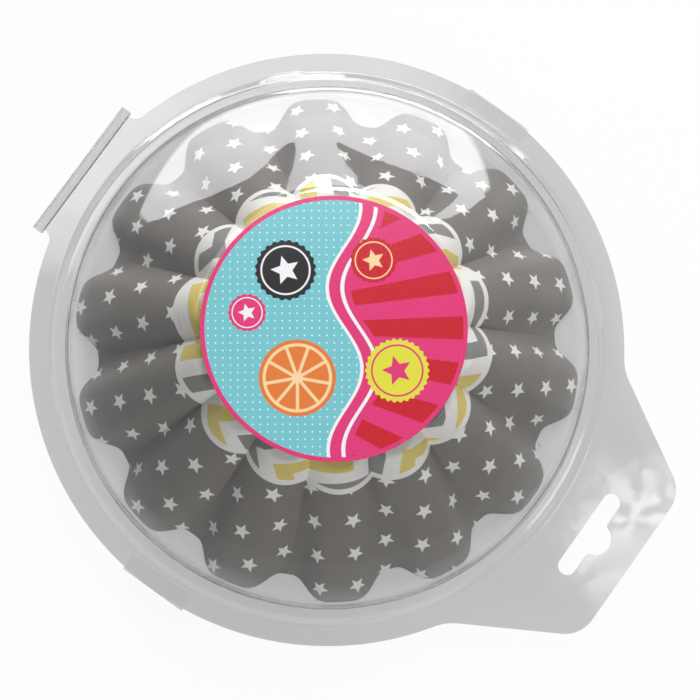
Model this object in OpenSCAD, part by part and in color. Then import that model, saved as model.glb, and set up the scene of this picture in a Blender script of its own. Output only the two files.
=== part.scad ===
/* [Moulds] */
// Radius of the mould's rim at the tips of the flutes
rim_r = 95; // [70:1:110]
// Radius of the mould's flat base at the tips of the flutes
base_r = 50; // [35:1:60]
// Height of one mould, from rim to base
mould_h = 60; // [40:1:80]
// Number of flutes round a mould
flutes = 14; // [8:1:20]
// Depth of the flutes at the rim
flute_depth_rim = 9.3; // [4:0.1:12]
// Depth of the creases between the flutes at the base
flute_depth_base = 6; // [1:0.1:7]
// Thickness of the pressed paper
paper = 0.35; // [0.25:0.05:0.8]
// Air between the walls of two nested moulds
nest_gap = 0.15; // [0.1:0.05:0.6]
// Height by which each nested mould stands above the one inside it
nest_pitch = 1; // [0.8:0.1:4]
// Air between the lowest rim and the tray's floor
rim_rest_gap = 0.1; // [0.05:0.05:0.5]

/* [Case] */
// Thickness of the clear sheet that the case is formed from
sheet = 0.4; // [0.3:0.05:0.8]
// Air between the formed surfaces of tray and lid
part_gap = 0.15; // [0.1:0.05:0.4]
// Height of the tray's flange above the face that the tray rests on
flange_z = 8.6; // [6:0.1:14]
// Air between the rim tips and the tray's wall at the floor
rim_clear = 0.6; // [0.4:0.1:3]
// Width of the flat flange outside the bead
flange_w = 7.2; // [5:0.1:14]
// Height of the closing bead above the flange
bead_h = 3; // [1.5:0.1:5]
// Width of the bead's flat top
bead_top_w = 4.6; // [2:0.1:8]
// Width of the bead's sloping outer side
bead_slope_w = 2.4; // [1:0.1:4]
// Lean of the tray's wall between floor and bead, over its whole height
wall_lean = 1.2; // [0.5:0.1:3]
// Radius of the corner between the tray's floor and wall
floor_corner_r = 1.2; // [0.5:0.1:3]
// Air between the outer mould's base and the lid's flat top
top_air = 6.6; // [1:0.1:10]
// Distance by which the lid's flat top is smaller than the mould's base, in radius
plateau_inset = 0.5; // [-6:0.5:1]
// Roundness of the lid's wall: 1 is a cone, 2 is a parabola
dome_bulge = 2; // [1.7:0.1:2.6]
// Radius that rounds the edge of the lid's flat top
knee_r = 7; // [3:0.5:9]

/* [Hang tab] */
// Distance from the round flange's edge to the straight end of the hang tab
tab_out = 27.6; // [22:0.1:45]
// Distance from the middle of the tab to the centre of its corner rounding
tab_corner_x = 25.3; // [22:0.1:34]
// Radius of the tab's two outer corners
tab_corner_r = 12.5; // [4:0.5:16]
// Angle between the tab's sides and its middle line
tab_side_angle = 30; // [24:1:36]
// Radius that blends the tab's sides into the round flange
tab_fillet_r = 20; // [8:1:40]
// Distance from the round flange's edge to the middle line of the hang slot
slot_out = 8.6; // [6:0.1:12]
// Length of the hang slot from end to end
slot_len = 35.7; // [28:0.1:40]
// Width of the hang slot
slot_w = 6.9; // [5:0.1:8]
// Radius of the round bay on the outer side of the hang slot
slot_bay_r = 5.8; // [4:0.1:6.5]
// Distance from the slot's middle line to the centre of the round bay
slot_bay_offset = 3.2; // [2:0.1:4]

/* [Hinge] */
// Distance from the round flange's edge to the inner side of the rolled fold
flap_w = 0.2; // [0.1:0.1:12]
// Length of the hinge fold
hinge_len = 56; // [30:1:70]
// Radius of the rolled fold
roll_r = 2.1; // [1.4:0.1:3]
// Half width of the flap that carries the fold
flap_half_w = 26.5; // [14:0.5:32]
// Radius of the notch between the flap and the round flange
notch_r = 4; // [2:0.5:8]
// Thickness of the thin film that bends
film = 0.3; // [0.2:0.05:0.35]
// Height of the thin film between the two rolled edges
film_h = 0.8; // [0.5:0.1:1.4]

/* [Snaps] */
// Angle of the first snap from the X axis
snap_angle = 45; // [40:1:50]
// Angle that one snap covers
snap_sweep = 8.5; // [4:0.5:14]
// Distance by which a snap stands out of the bead
snap_out = 0.9; // [0.4:0.1:1.4]
// Height of a snap above the flange
snap_h = 1.9; // [1:0.1:2.4]
// Lean of a snap's outer side
snap_draft = 0.3; // [0.1:0.05:0.5]
// Width by which a snap's outer top edge is bevelled
snap_bevel = 0.8; // [0.3:0.1:1]

/* [Label and seals] */
// Width of the bare ring between the label and the edge of the lid's flat top
label_margin = 2.5; // [1:0.5:12]
// Thickness of the label
label_t = 0.2; // [0.1:0.05:0.4]
// Length of a seal tape along the edge of the flange
seal_len = 26.6; // [12:0.1:30]
// Width of the bare flange between the bead and a seal tape
seal_bare = 1; // [0.5:0.1:4]
// Thickness of a seal tape
seal_t = 0.12; // [0.08:0.02:0.3]
// Air between the seal's fold and the edge of the flange
seal_clear = 0.05; // [0.05:0.05:0.3]

/* [Hidden] */

// Counts that set how finely the flutes are drawn
steps_per_flute = 10;
wall_levels = 7;
arc_steps = 8;
round_fn = 180;

// Heights of the rims of the three moulds, innermost first
rim_z = [for (i = [0:2]) sheet + rim_rest_gap + i * nest_pitch];
nest_step = paper + nest_gap;
plateau_z = rim_z[2] + mould_h + top_air;

// Radii of the tray, worked outwards from the moulds
floor_edge_r = rim_r + rim_clear;
bead_in_r = floor_edge_r + wall_lean;
bead_out_r = bead_in_r + bead_top_w;
bead_foot_r = bead_out_r + bead_slope_w;
flange_r = bead_foot_r + flange_w;
bead_round_r = 0.8;
bead_slope_angle = atan(bead_h / bead_slope_w);
wall_angle = atan(wall_lean / (flange_z + bead_h));
plateau_r = base_r - plateau_inset;
label_r = plateau_r - label_margin;

// Surfaces of the two sheets at the flange
lid_under_z = flange_z + part_gap;
lid_flange_z = lid_under_z + sheet;
hinge_z = flange_z + part_gap / 2;
hinge_reach = flange_r + flap_w + 2 * roll_r;
roll_y = roll_r - hinge_reach;
film_low_z = hinge_z - film_h / 2;
film_high_z = hinge_z + film_h / 2;

// Points along an arc, from angle a0 to angle a1
function arc_points(c, r, a0, a1, n) =
    [for (i = [0:n]) c + r * [cos(a0 + (a1 - a0) * i / n), sin(a0 + (a1 - a0) * i / n)]];

// Direction of the i-th stretch of a path, as a unit vector
function stretch(path, i) = let (v = path[i + 1] - path[i]) v / norm(v);

// Left-hand normal of a path at its i-th point, lengthened so that a shifted path keeps its distance
function mitre(path, i) =
    let (last = len(path) - 1,
         a = stretch(path, max(i - 1, 0)),
         b = stretch(path, min(i, last - 1)),
         n = [-a[1] - b[1], a[0] + b[0]])
    n * 2 / (n * n);

// A path moved sideways to its left
function shifted(path, d) = [for (i = [0:len(path) - 1]) path[i] + d * mitre(path, i)];

function reversed(path) = [for (i = [len(path) - 1:-1:0]) path[i]];

bead_round_z = flange_z + bead_h - bead_round_r;

// Upper surface of the tray where the lid lies on it, from the bead's top outwards
closing_path = concat(
    arc_points([bead_out_r - bead_round_r, bead_round_z], bead_round_r, 90, 90 - bead_slope_angle, 3),
    [[bead_foot_r, flange_z], [flange_r, flange_z]]);

// Upper surface of the tray, from its centre to the edge of the flange
tray_path = concat(
    [[0, sheet]],
    arc_points([floor_edge_r - floor_corner_r, sheet + floor_corner_r], floor_corner_r, -90, -wall_angle, 4),
    arc_points([bead_in_r + bead_round_r, bead_round_z], bead_round_r, 180 - wall_angle, 90, 4),
    closing_path);

// Inner surface of the lid, from its centre down to the bead and out to the edge
plateau_under_z = plateau_z - sheet;
dome_foot_z = lid_under_z + bead_h;
dome_step = 0.2;
dome_foot_r = bead_in_r + dome_step;
dome_rise = plateau_under_z - dome_foot_z;
foot_fillet_r = 1;
dome_levels = 10;
knee_angle = atan(dome_rise / (dome_bulge * (dome_foot_r - plateau_r)));
knee_reach = knee_r * tan(knee_angle / 2);
function dome_r(z) =
    plateau_r + (dome_foot_r - plateau_r) * (1 - pow((z - dome_foot_z) / dome_rise, dome_bulge));
dome_top_z = plateau_under_z - 1.5 * knee_reach * sin(knee_angle);
dome_path = concat(
    [[0, plateau_under_z]],
    arc_points([plateau_r - knee_reach, plateau_under_z - knee_r], knee_r, 90, 90 - knee_angle, 4),
    [for (i = [0:dome_levels])
        let (z = dome_top_z + (dome_foot_z + foot_fillet_r - dome_top_z) * i / dome_levels) [dome_r(z), z]],
    arc_points([dome_foot_r + foot_fillet_r, dome_foot_z + foot_fillet_r], foot_fillet_r, 190, 270, 4),
    shifted(closing_path, part_gap));

// Radius of the flute tips at a height above the rim, along a straight flared wall
function tip_r(z) = rim_r - (rim_r - base_r) * z / mould_h;

// Height of the wave across one flute, from 0 in the crease to 1 at the tip: f runs from -1 to 1
function flute_shape(f, z) =
    let (a = min(abs(f), 1),
         round_wave = 0.5 + 0.5 * cos(180 * pow(a, 1.35)),
         steep_wave = round_wave * round_wave * (3 - 2 * round_wave),
         arch = 1 - a * a,
         w = min(1, z / (0.75 * mould_h)))
    steep_wave * (1 - w) + arch * w;

function flute_depth(z) = flute_depth_rim - (flute_depth_rim - flute_depth_base) * z / mould_h;

function contour_r(angle, z) =
    let (pitch = 360 / flutes,
         turn = (angle - 90) / pitch,
         f = 2 * (turn - round(turn)))
    tip_r(z) - flute_depth(z) * (1 - flute_shape(f, z));

function wall_point(angle, z) = let (r = contour_r(angle, z)) [r * cos(angle), r * sin(angle), z];

// Outward normal of the wall; at the rim it lies level, so that the rim stays flat
function wall_normal(angle, z) =
    let (d_angle = 0.4,
         d_z = 0.5,
         z0 = min(max(z, d_z), mould_h - d_z),
         round = wall_point(angle + d_angle, z0) - wall_point(angle - d_angle, z0),
         up = wall_point(angle, z0 + d_z) - wall_point(angle, z0 - d_z),
         n = cross(round, up),
         m = z == 0 ? [n[0], n[1], 0] : n)
    m / norm(m);

// A ring of points round the wall at one height, set inwards from the outermost surface
function wall_ring(z, inset) =
    [for (i = [0:flutes * steps_per_flute - 1])
        let (angle = 90 + 360 * i / (flutes * steps_per_flute))
        wall_point(angle, z) - inset * wall_normal(angle, z)];

// One pressed paper mould, upside down, with its outer surface set in by inset
module fluted_mould(inset, rise) {
    n = flutes * steps_per_flute;
    outer = [for (j = [0:wall_levels]) each wall_ring(mould_h * j / wall_levels, inset)];
    inner = [for (j = [0:wall_levels]) each
        [for (p = wall_ring(mould_h * j / wall_levels, inset + paper))
            j == wall_levels ? [p[0], p[1], mould_h - inset - paper] : p]];
    flat_outer = [for (k = [0:len(outer) - 1])
        k < n * wall_levels ? outer[k] : [outer[k][0], outer[k][1], mould_h - inset]];
    points = concat(flat_outer, inner, [[0, 0, mould_h - inset]], [[0, 0, mould_h - inset - paper]]);
    inner_start = n * (wall_levels + 1);
    top_centre = 2 * inner_start;
    under_centre = top_centre + 1;
    faces = concat(
        [for (j = [0:wall_levels - 1], i = [0:n - 1], half = [0:1])
            let (a = j * n + i, b = j * n + (i + 1) % n, c = a + n, d = b + n)
            half == 0 ? [a, c, d] : [a, d, b]],
        [for (j = [0:wall_levels - 1], i = [0:n - 1], half = [0:1])
            let (a = inner_start + j * n + i, b = inner_start + j * n + (i + 1) % n, c = a + n, d = b + n)
            half == 0 ? [a, d, c] : [a, b, d]],
        [for (i = [0:n - 1], half = [0:1])
            let (a = i, b = (i + 1) % n, c = inner_start + i, d = inner_start + (i + 1) % n)
            half == 0 ? [a, b, d] : [a, d, c]],
        [for (i = [0:n - 1]) [top_centre, n * wall_levels + (i + 1) % n, n * wall_levels + i]],
        [for (i = [0:n - 1]) [under_centre,
            inner_start + n * wall_levels + i, inner_start + n * wall_levels + (i + 1) % n]]);
    translate([0, 0, rise]) polyhedron(points = points, faces = faces, convexity = 6);
}

module mould_outer() {
    color([0.45, 0.44, 0.43]) fluted_mould(0, rim_z[2]);
}

module mould_middle() {
    color([0.5, 0.49, 0.48]) fluted_mould(nest_step, rim_z[1]);
}

module mould_inner() {
    color([0.55, 0.54, 0.53]) fluted_mould(2 * nest_step, rim_z[0]);
}

// Outline of the hang tab, blended into the round flange
module tab_outline() {
    corner = [tab_corner_x, flange_r + tab_out - tab_corner_r];
    side = [cos(tab_side_angle), sin(tab_side_angle)];
    side_reach = corner * side + tab_corner_r;
    blend_angle = tab_side_angle + acos((side_reach + tab_fillet_r) / (flange_r + tab_fillet_r));
    blend = (flange_r + tab_fillet_r) * [cos(blend_angle), sin(blend_angle)];
    right = concat(
        arc_points(blend, tab_fillet_r, blend_angle + 180, tab_side_angle + 180, arc_steps),
        arc_points(corner, tab_corner_r, tab_side_angle, 90, arc_steps));
    left = [for (p = reversed(right)) [-p[0], p[1]]];
    polygon(concat(right, left));
}

// The hang slot with its round bay
module slot_outline() {
    half = (slot_len - slot_w) / 2;
    translate([0, flange_r + slot_out]) {
        square([2 * half, slot_w], center = true);
        for (side = [-1, 1]) translate([side * half, 0]) circle(d = slot_w, $fn = 48);
        translate([0, slot_bay_offset]) circle(r = slot_bay_r, $fn = 64);
    }
}

// The flap between the flange and the rolled fold, with a rounded notch on each side
module flap_outline() {
    notch_x = flap_half_w + notch_r;
    notch_y = -sqrt(pow(flange_r + notch_r, 2) - notch_x * notch_x);
    right = concat(
        [[flap_half_w, roll_y + roll_r - sheet]],
        arc_points([notch_x, notch_y], notch_r, 180, atan2(-notch_y, -notch_x), arc_steps));
    left = [for (p = reversed(right)) [-p[0], p[1]]];
    polygon(concat(right, left));
}

// Flat stretches of tray or lid outside the round flange, with the slot cut through
module flat_ears(z) {
    translate([0, 0, z]) linear_extrude(sheet) difference() {
        union() {
            tab_outline();
            flap_outline();
        }
        circle(r = flange_r - 1, $fn = round_fn);
        slot_outline();
    }
}

// Half of the rolled fold: the half under the parting gap for the tray, the half above it for the lid
module rolled_edge(side) {
    inner_low = side < 0 ? hinge_z - roll_r : lid_under_z;
    crest_low = side < 0 ? hinge_z - roll_r : film_high_z;
    intersection() {
        fold_tube(sheet);
        union() {
            translate([-hinge_len / 2, roll_y, inner_low])
                cube([hinge_len, roll_r, roll_r - part_gap / 2]);
            translate([-hinge_len / 2, -hinge_reach, crest_low])
                cube([hinge_len, roll_r, roll_r - film_h / 2]);
        }
    }
}

// The whole tube that the fold's pieces are cut from
module fold_tube(wall) {
    translate([0, roll_y, hinge_z]) rotate([0, 90, 0]) difference() {
        cylinder(r = roll_r, h = hinge_len, center = true, $fn = 48);
        cylinder(r = roll_r - wall, h = hinge_len + 2, center = true, $fn = 48);
    }
}

// Four short lugs on the bead's sloping side, grown on every side by grow
module snap_lugs(grow, low_z) {
    sweep = snap_sweep + 2 * grow / bead_foot_r * 180 / PI;
    out_r = bead_foot_r + snap_out + grow;
    top_z = flange_z + snap_h + grow;
    lug = [[bead_out_r, low_z], [out_r, low_z], [out_r - snap_draft, flange_z + 0.6 * snap_h],
           [out_r - snap_draft - snap_bevel, top_z], [bead_out_r, top_z]];
    for (k = [0:3]) rotate(snap_angle + 90 * k - sweep / 2)
        rotate_extrude(angle = sweep, $fn = round_fn) polygon(lug);
}

// A sheet of revolution between a path and the same path moved by d
module formed_sheet(path, d) {
    rotate_extrude($fn = round_fn) polygon(concat(path, reversed(shifted(path, d))));
}

// The room under the middle of the lid's sheet, from the bead to the edge
module under_bead() {
    rotate_extrude($fn = round_fn) polygon(concat(
        shifted(closing_path, part_gap + sheet / 2),
        [[flange_r, flange_z], [bead_out_r - bead_round_r, flange_z]]));
}

module case_tray() {
    color([0.86, 0.88, 0.9, 0.4]) {
        formed_sheet(tray_path, -sheet);
        flat_ears(flange_z - sheet);
        rolled_edge(-1);
        snap_lugs(0, flange_z - sheet / 2);
    }
}

module case_lid() {
    color([0.86, 0.88, 0.9, 0.4]) {
        difference() {
            union() {
                formed_sheet(dome_path, sheet);
                difference() {
                    snap_lugs(part_gap + sheet, lid_under_z);
                    under_bead();
                }
            }
            snap_lugs(part_gap, flange_z);
        }
        flat_ears(lid_under_z);
        rolled_edge(1);
    }
}

// The thin film at the crest of the fold
module living_hinge() {
    color([0.8, 0.82, 0.85, 0.6]) intersection() {
        fold_tube(film);
        translate([-hinge_len / 2, -hinge_reach, film_low_z]) cube([hinge_len, roll_r, film_h]);
    }
}

module front_label() {
    color([0.85, 0.2, 0.45]) translate([0, 0, plateau_z]) cylinder(r = label_r, h = label_t, $fn = round_fn);
}

// Half of a seal tape, on the side given, above or below the parting plane
module seal_half(side, above) {
    face_z = above ? lid_flange_z : flange_z - sheet;
    fold_x = flange_r + seal_clear;
    seal_w = flange_w - seal_bare + seal_clear + seal_t;
    lip_z = above ? lid_under_z : flange_z - sheet - seal_t;
    mirror([side < 0 ? 1 : 0, 0, 0]) {
        translate([fold_x + seal_t - seal_w, -seal_len / 2, above ? face_z : face_z - seal_t])
            cube([seal_w, seal_len, seal_t]);
        translate([fold_x, -seal_len / 2, lip_z]) cube([seal_t, seal_len, sheet + seal_t]);
    }
}

module seal_left_lid() {
    color([0.9, 0.92, 0.95, 0.5]) seal_half(-1, true);
}

module seal_left_tray() {
    color([0.9, 0.92, 0.95, 0.5]) seal_half(-1, false);
}

module seal_right_lid() {
    color([0.9, 0.92, 0.95, 0.5]) seal_half(1, true);
}

module seal_right_tray() {
    color([0.9, 0.92, 0.95, 0.5]) seal_half(1, false);
}

case_tray();
case_lid();
living_hinge();
mould_outer();
mould_middle();
mould_inner();
front_label();
seal_left_lid();
seal_left_tray();
seal_right_lid();
seal_right_tray();
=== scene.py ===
"""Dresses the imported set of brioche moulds: three nested paper moulds, upside down in a clear hinged case.

Lengths in the classes are in millimetres, as in the part's source, and become metres when a mesh is made.
The frame is the part's own: Z up, the hang tab towards +Y and the fold along X on the -Y side.
"""

from __future__ import annotations

import logging
import math
from dataclasses import dataclass, field
from enum import Enum

import bmesh
import bpy
import numpy as np
from mathutils import Matrix, Vector
from mathutils.geometry import delaunay_2d_cdt

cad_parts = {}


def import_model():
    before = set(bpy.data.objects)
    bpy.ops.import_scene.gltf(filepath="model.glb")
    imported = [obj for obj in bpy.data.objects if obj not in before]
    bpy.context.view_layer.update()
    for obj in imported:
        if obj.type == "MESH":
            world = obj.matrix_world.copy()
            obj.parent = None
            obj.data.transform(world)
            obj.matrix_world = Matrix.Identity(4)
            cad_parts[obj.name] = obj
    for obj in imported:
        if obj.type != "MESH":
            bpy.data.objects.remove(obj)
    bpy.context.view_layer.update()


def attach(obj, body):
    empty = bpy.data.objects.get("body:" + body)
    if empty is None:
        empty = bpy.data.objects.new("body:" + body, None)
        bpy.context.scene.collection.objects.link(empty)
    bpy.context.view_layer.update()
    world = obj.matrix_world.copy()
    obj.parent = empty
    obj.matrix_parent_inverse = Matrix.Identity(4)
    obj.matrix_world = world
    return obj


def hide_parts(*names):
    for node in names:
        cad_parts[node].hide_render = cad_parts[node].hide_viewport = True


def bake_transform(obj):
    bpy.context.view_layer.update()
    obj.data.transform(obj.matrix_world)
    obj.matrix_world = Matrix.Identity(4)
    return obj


LOG = logging.getLogger("brioche_moulds")
MM = 0.001

Colour = tuple[float, float, float]
Point2 = tuple[float, float]
Point3 = tuple[float, float, float]
Face = tuple[int, ...]


class Body(Enum):
    """The three bodies that move against each other."""

    CASE_BASE = "case_base"
    LID = "lid"
    MOULD_STACK = "mould_stack"


class Side(Enum):
    """Which side of the parting gap a formed part lies on."""

    TRAY = -1
    LID = 1


class Slot(Enum):
    """Material slots of the record."""

    CLEAR_SHEET = "clear_sheet"
    CLEAR_FOLD = "clear_fold"
    PRINTED_PAPER = "printed_paper"
    LABEL_CARD = "label_card"
    SEAL_TAPE = "seal_tape"


def linear(red: int, green: int, blue: int) -> Colour:
    """Turns a colour of 0 to 255, as a picture shows it, into a scene colour.

    Args:
        red: Red from 0 to 255.
        green: Green from 0 to 255.
        blue: Blue from 0 to 255.

    Returns:
        The colour in linear light.
    """

    def channel(value: int) -> float:
        """Linear light of one channel."""
        share = value / 255
        return share / 12.92 if share <= 0.04045 else ((share + 0.055) / 1.055) ** 2.4

    return channel(red), channel(green), channel(blue)


class Signal:
    """A number that runs through a node tree. Arithmetic on it adds Math nodes."""

    def __init__(self, tree: bpy.types.NodeTree, socket: bpy.types.NodeSocket) -> None:
        """Wraps an output socket.

        Args:
            tree: The tree that the socket is in.
            socket: A node's output socket that carries one number.
        """
        self.tree = tree
        self.socket = socket

    def through(self, operation: str, *others: Signal | float, clamp: bool = False) -> Signal:
        """Sends the number through one Math node.

        Args:
            operation: The Math node's operation.
            *others: The node's other inputs, in order.
            clamp: Whether the result is held between 0 and 1.

        Returns:
            The node's result.
        """
        node = self.tree.nodes.new("ShaderNodeMath")
        node.operation = operation
        node.use_clamp = clamp
        for place, value in enumerate((self, *others)):
            plug(self.tree, node.inputs[place], value)
        return Signal(self.tree, node.outputs[0])

    def __add__(self, other: Signal | float) -> Signal:
        """Sum."""
        return self.through("ADD", other)

    def __sub__(self, other: Signal | float) -> Signal:
        """Difference."""
        return self.through("SUBTRACT", other)

    def __mul__(self, other: Signal | float) -> Signal:
        """Product."""
        return self.through("MULTIPLY", other)

    def __truediv__(self, other: Signal | float) -> Signal:
        """Quotient."""
        return self.through("DIVIDE", other)

    def over(self, edge: Signal | float, soft: float) -> Signal:
        """A mask that is 1 above an edge and 0 below it.

        Args:
            edge: The value at the middle of the edge.
            soft: The width of the change from 0 to 1.

        Returns:
            The mask.
        """
        return (self - edge).through("MULTIPLY_ADD", 1 / soft, 0.5, clamp=True)

    def under(self, edge: Signal | float, soft: float) -> Signal:
        """A mask that is 1 below an edge and 0 above it, like over."""
        return (self - edge).through("MULTIPLY_ADD", -1 / soft, 0.5, clamp=True)

    def between(self, low: float, high: float, soft: float) -> Signal:
        """A mask that is 1 between two values."""
        return self.over(low, soft) * self.under(high, soft)

    def greater(self, other: Signal | float) -> Signal:
        """The larger of two numbers."""
        return self.through("MAXIMUM", other)

    def size(self) -> Signal:
        """The number without its sign."""
        return self.through("ABSOLUTE")

    def fold(self, period: float) -> Signal:
        """Distance to the nearest whole multiple of a period."""
        return self.through("PINGPONG", period / 2)

    def centred(self, period: float) -> Signal:
        """The number wrapped into half a period on either side of 0."""
        return self.through("WRAP", period / 2, -period / 2)

    def sine(self) -> Signal:
        """Sine of an angle in radians."""
        return self.through("SINE")

    def cosine(self) -> Signal:
        """Cosine of an angle in radians."""
        return self.through("COSINE")


def plug(tree: bpy.types.NodeTree, socket: bpy.types.NodeSocket, value: object) -> None:
    """Sets an input socket, or links it where the value is a signal or a socket.

    Args:
        tree: The tree that the socket is in.
        socket: The input socket.
        value: A Signal, an output socket, or a plain value.
    """
    if isinstance(value, Signal):
        tree.links.new(value.socket, socket)
    elif isinstance(value, bpy.types.NodeSocket):
        tree.links.new(value, socket)
    else:
        socket.default_value = value


def rays(tree: bpy.types.NodeTree, *kinds: str) -> list[Signal]:
    """Numbers that are 1 for rays of one kind and 0 for all others.

    Args:
        tree: The tree that reads them.
        kinds: The kinds of ray, as the Light Path node names them.

    Returns:
        One number for each kind.
    """
    node = tree.nodes.new("ShaderNodeLightPath")
    return [Signal(tree, node.outputs[f"Is {kind} Ray"]) for kind in kinds]


@dataclass
class Plane:
    """A place on a flat pattern, as two signals in millimetres."""

    x: Signal
    y: Signal

    def moved(self, x: float, y: float) -> Plane:
        """The same place measured from another centre."""
        return Plane(self.x - x, self.y - y)

    def turned(self, degrees: float) -> Plane:
        """The same place on axes turned by an angle.

        Args:
            degrees: Angle of the new X axis from the old one.

        Returns:
            The place on the turned axes.
        """
        cos, sin = math.cos(math.radians(degrees)), math.sin(math.radians(degrees))
        return Plane(self.x * cos + self.y * sin, self.y * cos - self.x * sin)

    def tiled(self, pitch: float) -> Plane:
        """The place within a square grid's cell, measured from the cell's middle."""
        return Plane(self.x.centred(pitch), self.y.centred(pitch))

    def reach(self) -> Signal:
        """Distance from the centre."""
        return (self.x * self.x + self.y * self.y).through("SQRT")

    def bearing(self) -> Signal:
        """Angle round the centre, in radians from the X axis."""
        return self.y.through("ARCTAN2", self.x)

    def star(self, points: int, outer: float, inner: float, turn: float, soft: float) -> Signal:
        """A mask of a pointed star round the centre.

        Args:
            points: Number of arms.
            outer: Distance from the centre to an arm's tip.
            inner: Distance from the centre to the corner between two arms.
            turn: Angle of one arm, in radians from the X axis.
            soft: Width of the mask's edge.

        Returns:
            The mask, 1 inside the star.
        """
        arm = math.tau / points
        away = (self.bearing() - turn).fold(arm)
        reach = self.reach()
        corner = (inner * math.cos(arm / 2), inner * math.sin(arm / 2))
        normal = Vector((corner[1], outer - corner[0])).normalized()
        across = reach * away.cosine() * normal.x + reach * away.sine() * normal.y
        return across.under(outer * normal.x, soft)


class Paint:
    """Colours laid over each other by masks, the last one on top."""

    def __init__(self, tree: bpy.types.NodeTree, ground: Colour | bpy.types.NodeSocket) -> None:
        """Starts with a ground colour.

        Args:
            tree: The tree that the nodes go into.
            ground: A colour, or a socket that carries one.
        """
        self.tree = tree
        self.colour: object = ground if isinstance(ground, bpy.types.NodeSocket) else (*ground, 1.0)

    def lay(self, mask: Signal | float, colour: Colour | bpy.types.NodeSocket, mode: str = "MIX") -> Paint:
        """Lays a colour over what is there.

        Args:
            mask: Where the new colour shows, from 0 to 1.
            colour: The new colour.
            mode: The Mix node's blend type.

        Returns:
            This object, so that layers can follow each other.
        """
        node = self.tree.nodes.new("ShaderNodeMix")
        node.data_type = "RGBA"
        node.blend_type = mode
        plug(self.tree, node.inputs["Factor"], mask)
        plug(self.tree, node.inputs[6], self.colour)
        plain = not isinstance(colour, bpy.types.NodeSocket)
        plug(self.tree, node.inputs[7], (*colour, 1.0) if plain else colour)
        self.colour = node.outputs[2]
        return self


class EffectGroup:
    """A shader node group that several finishes use."""

    def __init__(self, name: str, inputs: dict[str, float], outputs: tuple[str, ...]) -> None:
        """Makes an empty group.

        Args:
            name: The group's name.
            inputs: Names and default values of its number inputs.
            outputs: Names of its number outputs.
        """
        self.tree = bpy.data.node_groups.new(name, "ShaderNodeTree")
        for title, value in inputs.items():
            socket = self.tree.interface.new_socket(title, in_out="INPUT", socket_type="NodeSocketFloat")
            socket.default_value = value
        for title in outputs:
            self.tree.interface.new_socket(title, in_out="OUTPUT", socket_type="NodeSocketFloat")
        self.source = self.tree.nodes.new("NodeGroupInput")
        self.sink = self.tree.nodes.new("NodeGroupOutput")
        self.place = self.tree.nodes.new("ShaderNodeTexCoord").outputs["Object"]

    def given(self, title: str) -> Signal:
        """One of the group's inputs."""
        return Signal(self.tree, self.source.outputs[title])

    def give(self, title: str, value: Signal) -> None:
        """Sets one of the group's outputs."""
        plug(self.tree, self.sink.inputs[title], value)

    def noise(self, scale: Signal | float, detail: float = 2.0, stretch: Point3 = (1.0, 1.0, 1.0)) -> Signal:
        """Soft noise in space.

        Args:
            scale: Number of waves in a metre.
            detail: How many finer layers it has.
            stretch: Factors on the three axes.

        Returns:
            A number round 0.5.
        """
        return noise(self.tree, self.place, scale, detail, stretch)

    def use(self, tree: bpy.types.NodeTree, **values: float) -> dict[str, Signal]:
        """Places the group in a material.

        Args:
            tree: The material's tree.
            values: The group's inputs, with spaces written as underscores.

        Returns:
            The group's outputs by name.
        """
        node = tree.nodes.new("ShaderNodeGroup")
        node.node_tree = self.tree
        for title, value in values.items():
            node.inputs[title.replace("_", " ")].default_value = value
        return {socket.name: Signal(tree, socket) for socket in node.outputs}


def noise(
    tree: bpy.types.NodeTree,
    place: bpy.types.NodeSocket,
    scale: Signal | float,
    detail: float = 2.0,
    stretch: Point3 = (1.0, 1.0, 1.0),
) -> Signal:
    """Adds a Noise node that reads a place.

    Args:
        tree: The tree that the nodes go into.
        place: The socket with the place.
        scale: Number of waves in a metre.
        detail: How many finer layers it has.
        stretch: Factors on the three axes.

    Returns:
        A number round 0.5.
    """
    mapping = tree.nodes.new("ShaderNodeMapping")
    mapping.inputs["Scale"].default_value = stretch
    tree.links.new(place, mapping.inputs["Vector"])
    node = tree.nodes.new("ShaderNodeTexNoise")
    tree.links.new(mapping.outputs["Vector"], node.inputs["Vector"])
    plug(tree, node.inputs["Scale"], scale)
    node.inputs["Detail"].default_value = detail
    return Signal(tree, node.outputs["Fac"])


def paper_grain() -> EffectGroup:
    """The fibres and faint cockle of thin paper.

    Returns:
        A group with Height and Tint.
    """
    group = EffectGroup("Paper grain", {"Fibre scale": 1600.0, "Cockle scale": 60.0}, ("Height", "Tint"))
    fibre = group.noise(group.given("Fibre scale"), 4.0, (1.0, 1.0, 0.6))
    cockle = group.noise(group.given("Cockle scale"), 2.0)
    group.give("Height", fibre * 0.12 + cockle)
    group.give("Tint", fibre * 0.35 + cockle * 0.65)
    return group


def sheet_wear() -> EffectGroup:
    """The soft waves, rubs and hairline scratches of a formed clear sheet.

    Returns:
        A group with Height, Haze and Scratch.
    """
    group = EffectGroup("Sheet wear", {"Wave scale": 28.0, "Haze": 1.0}, ("Height", "Haze", "Scratch"))
    waves = group.noise(group.given("Wave scale"), 1.0)
    ripple = group.noise(140.0, 1.0)
    along = group.noise(220.0, 3.0, (1.0, 0.03, 1.0)).over(0.71, 0.04)
    across = group.noise(260.0, 3.0, (0.03, 1.0, 1.0)).over(0.72, 0.04)
    rub = group.noise(36.0, 5.0).over(0.6, 0.3)
    group.give("Height", waves + ripple * 0.05)
    group.give("Haze", rub * group.given("Haze"))
    group.give("Scratch", along.greater(across))
    return group


@dataclass(frozen=True)
class Effects:
    """The shader groups that the finishes share."""

    grain: EffectGroup
    wear: EffectGroup


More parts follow.
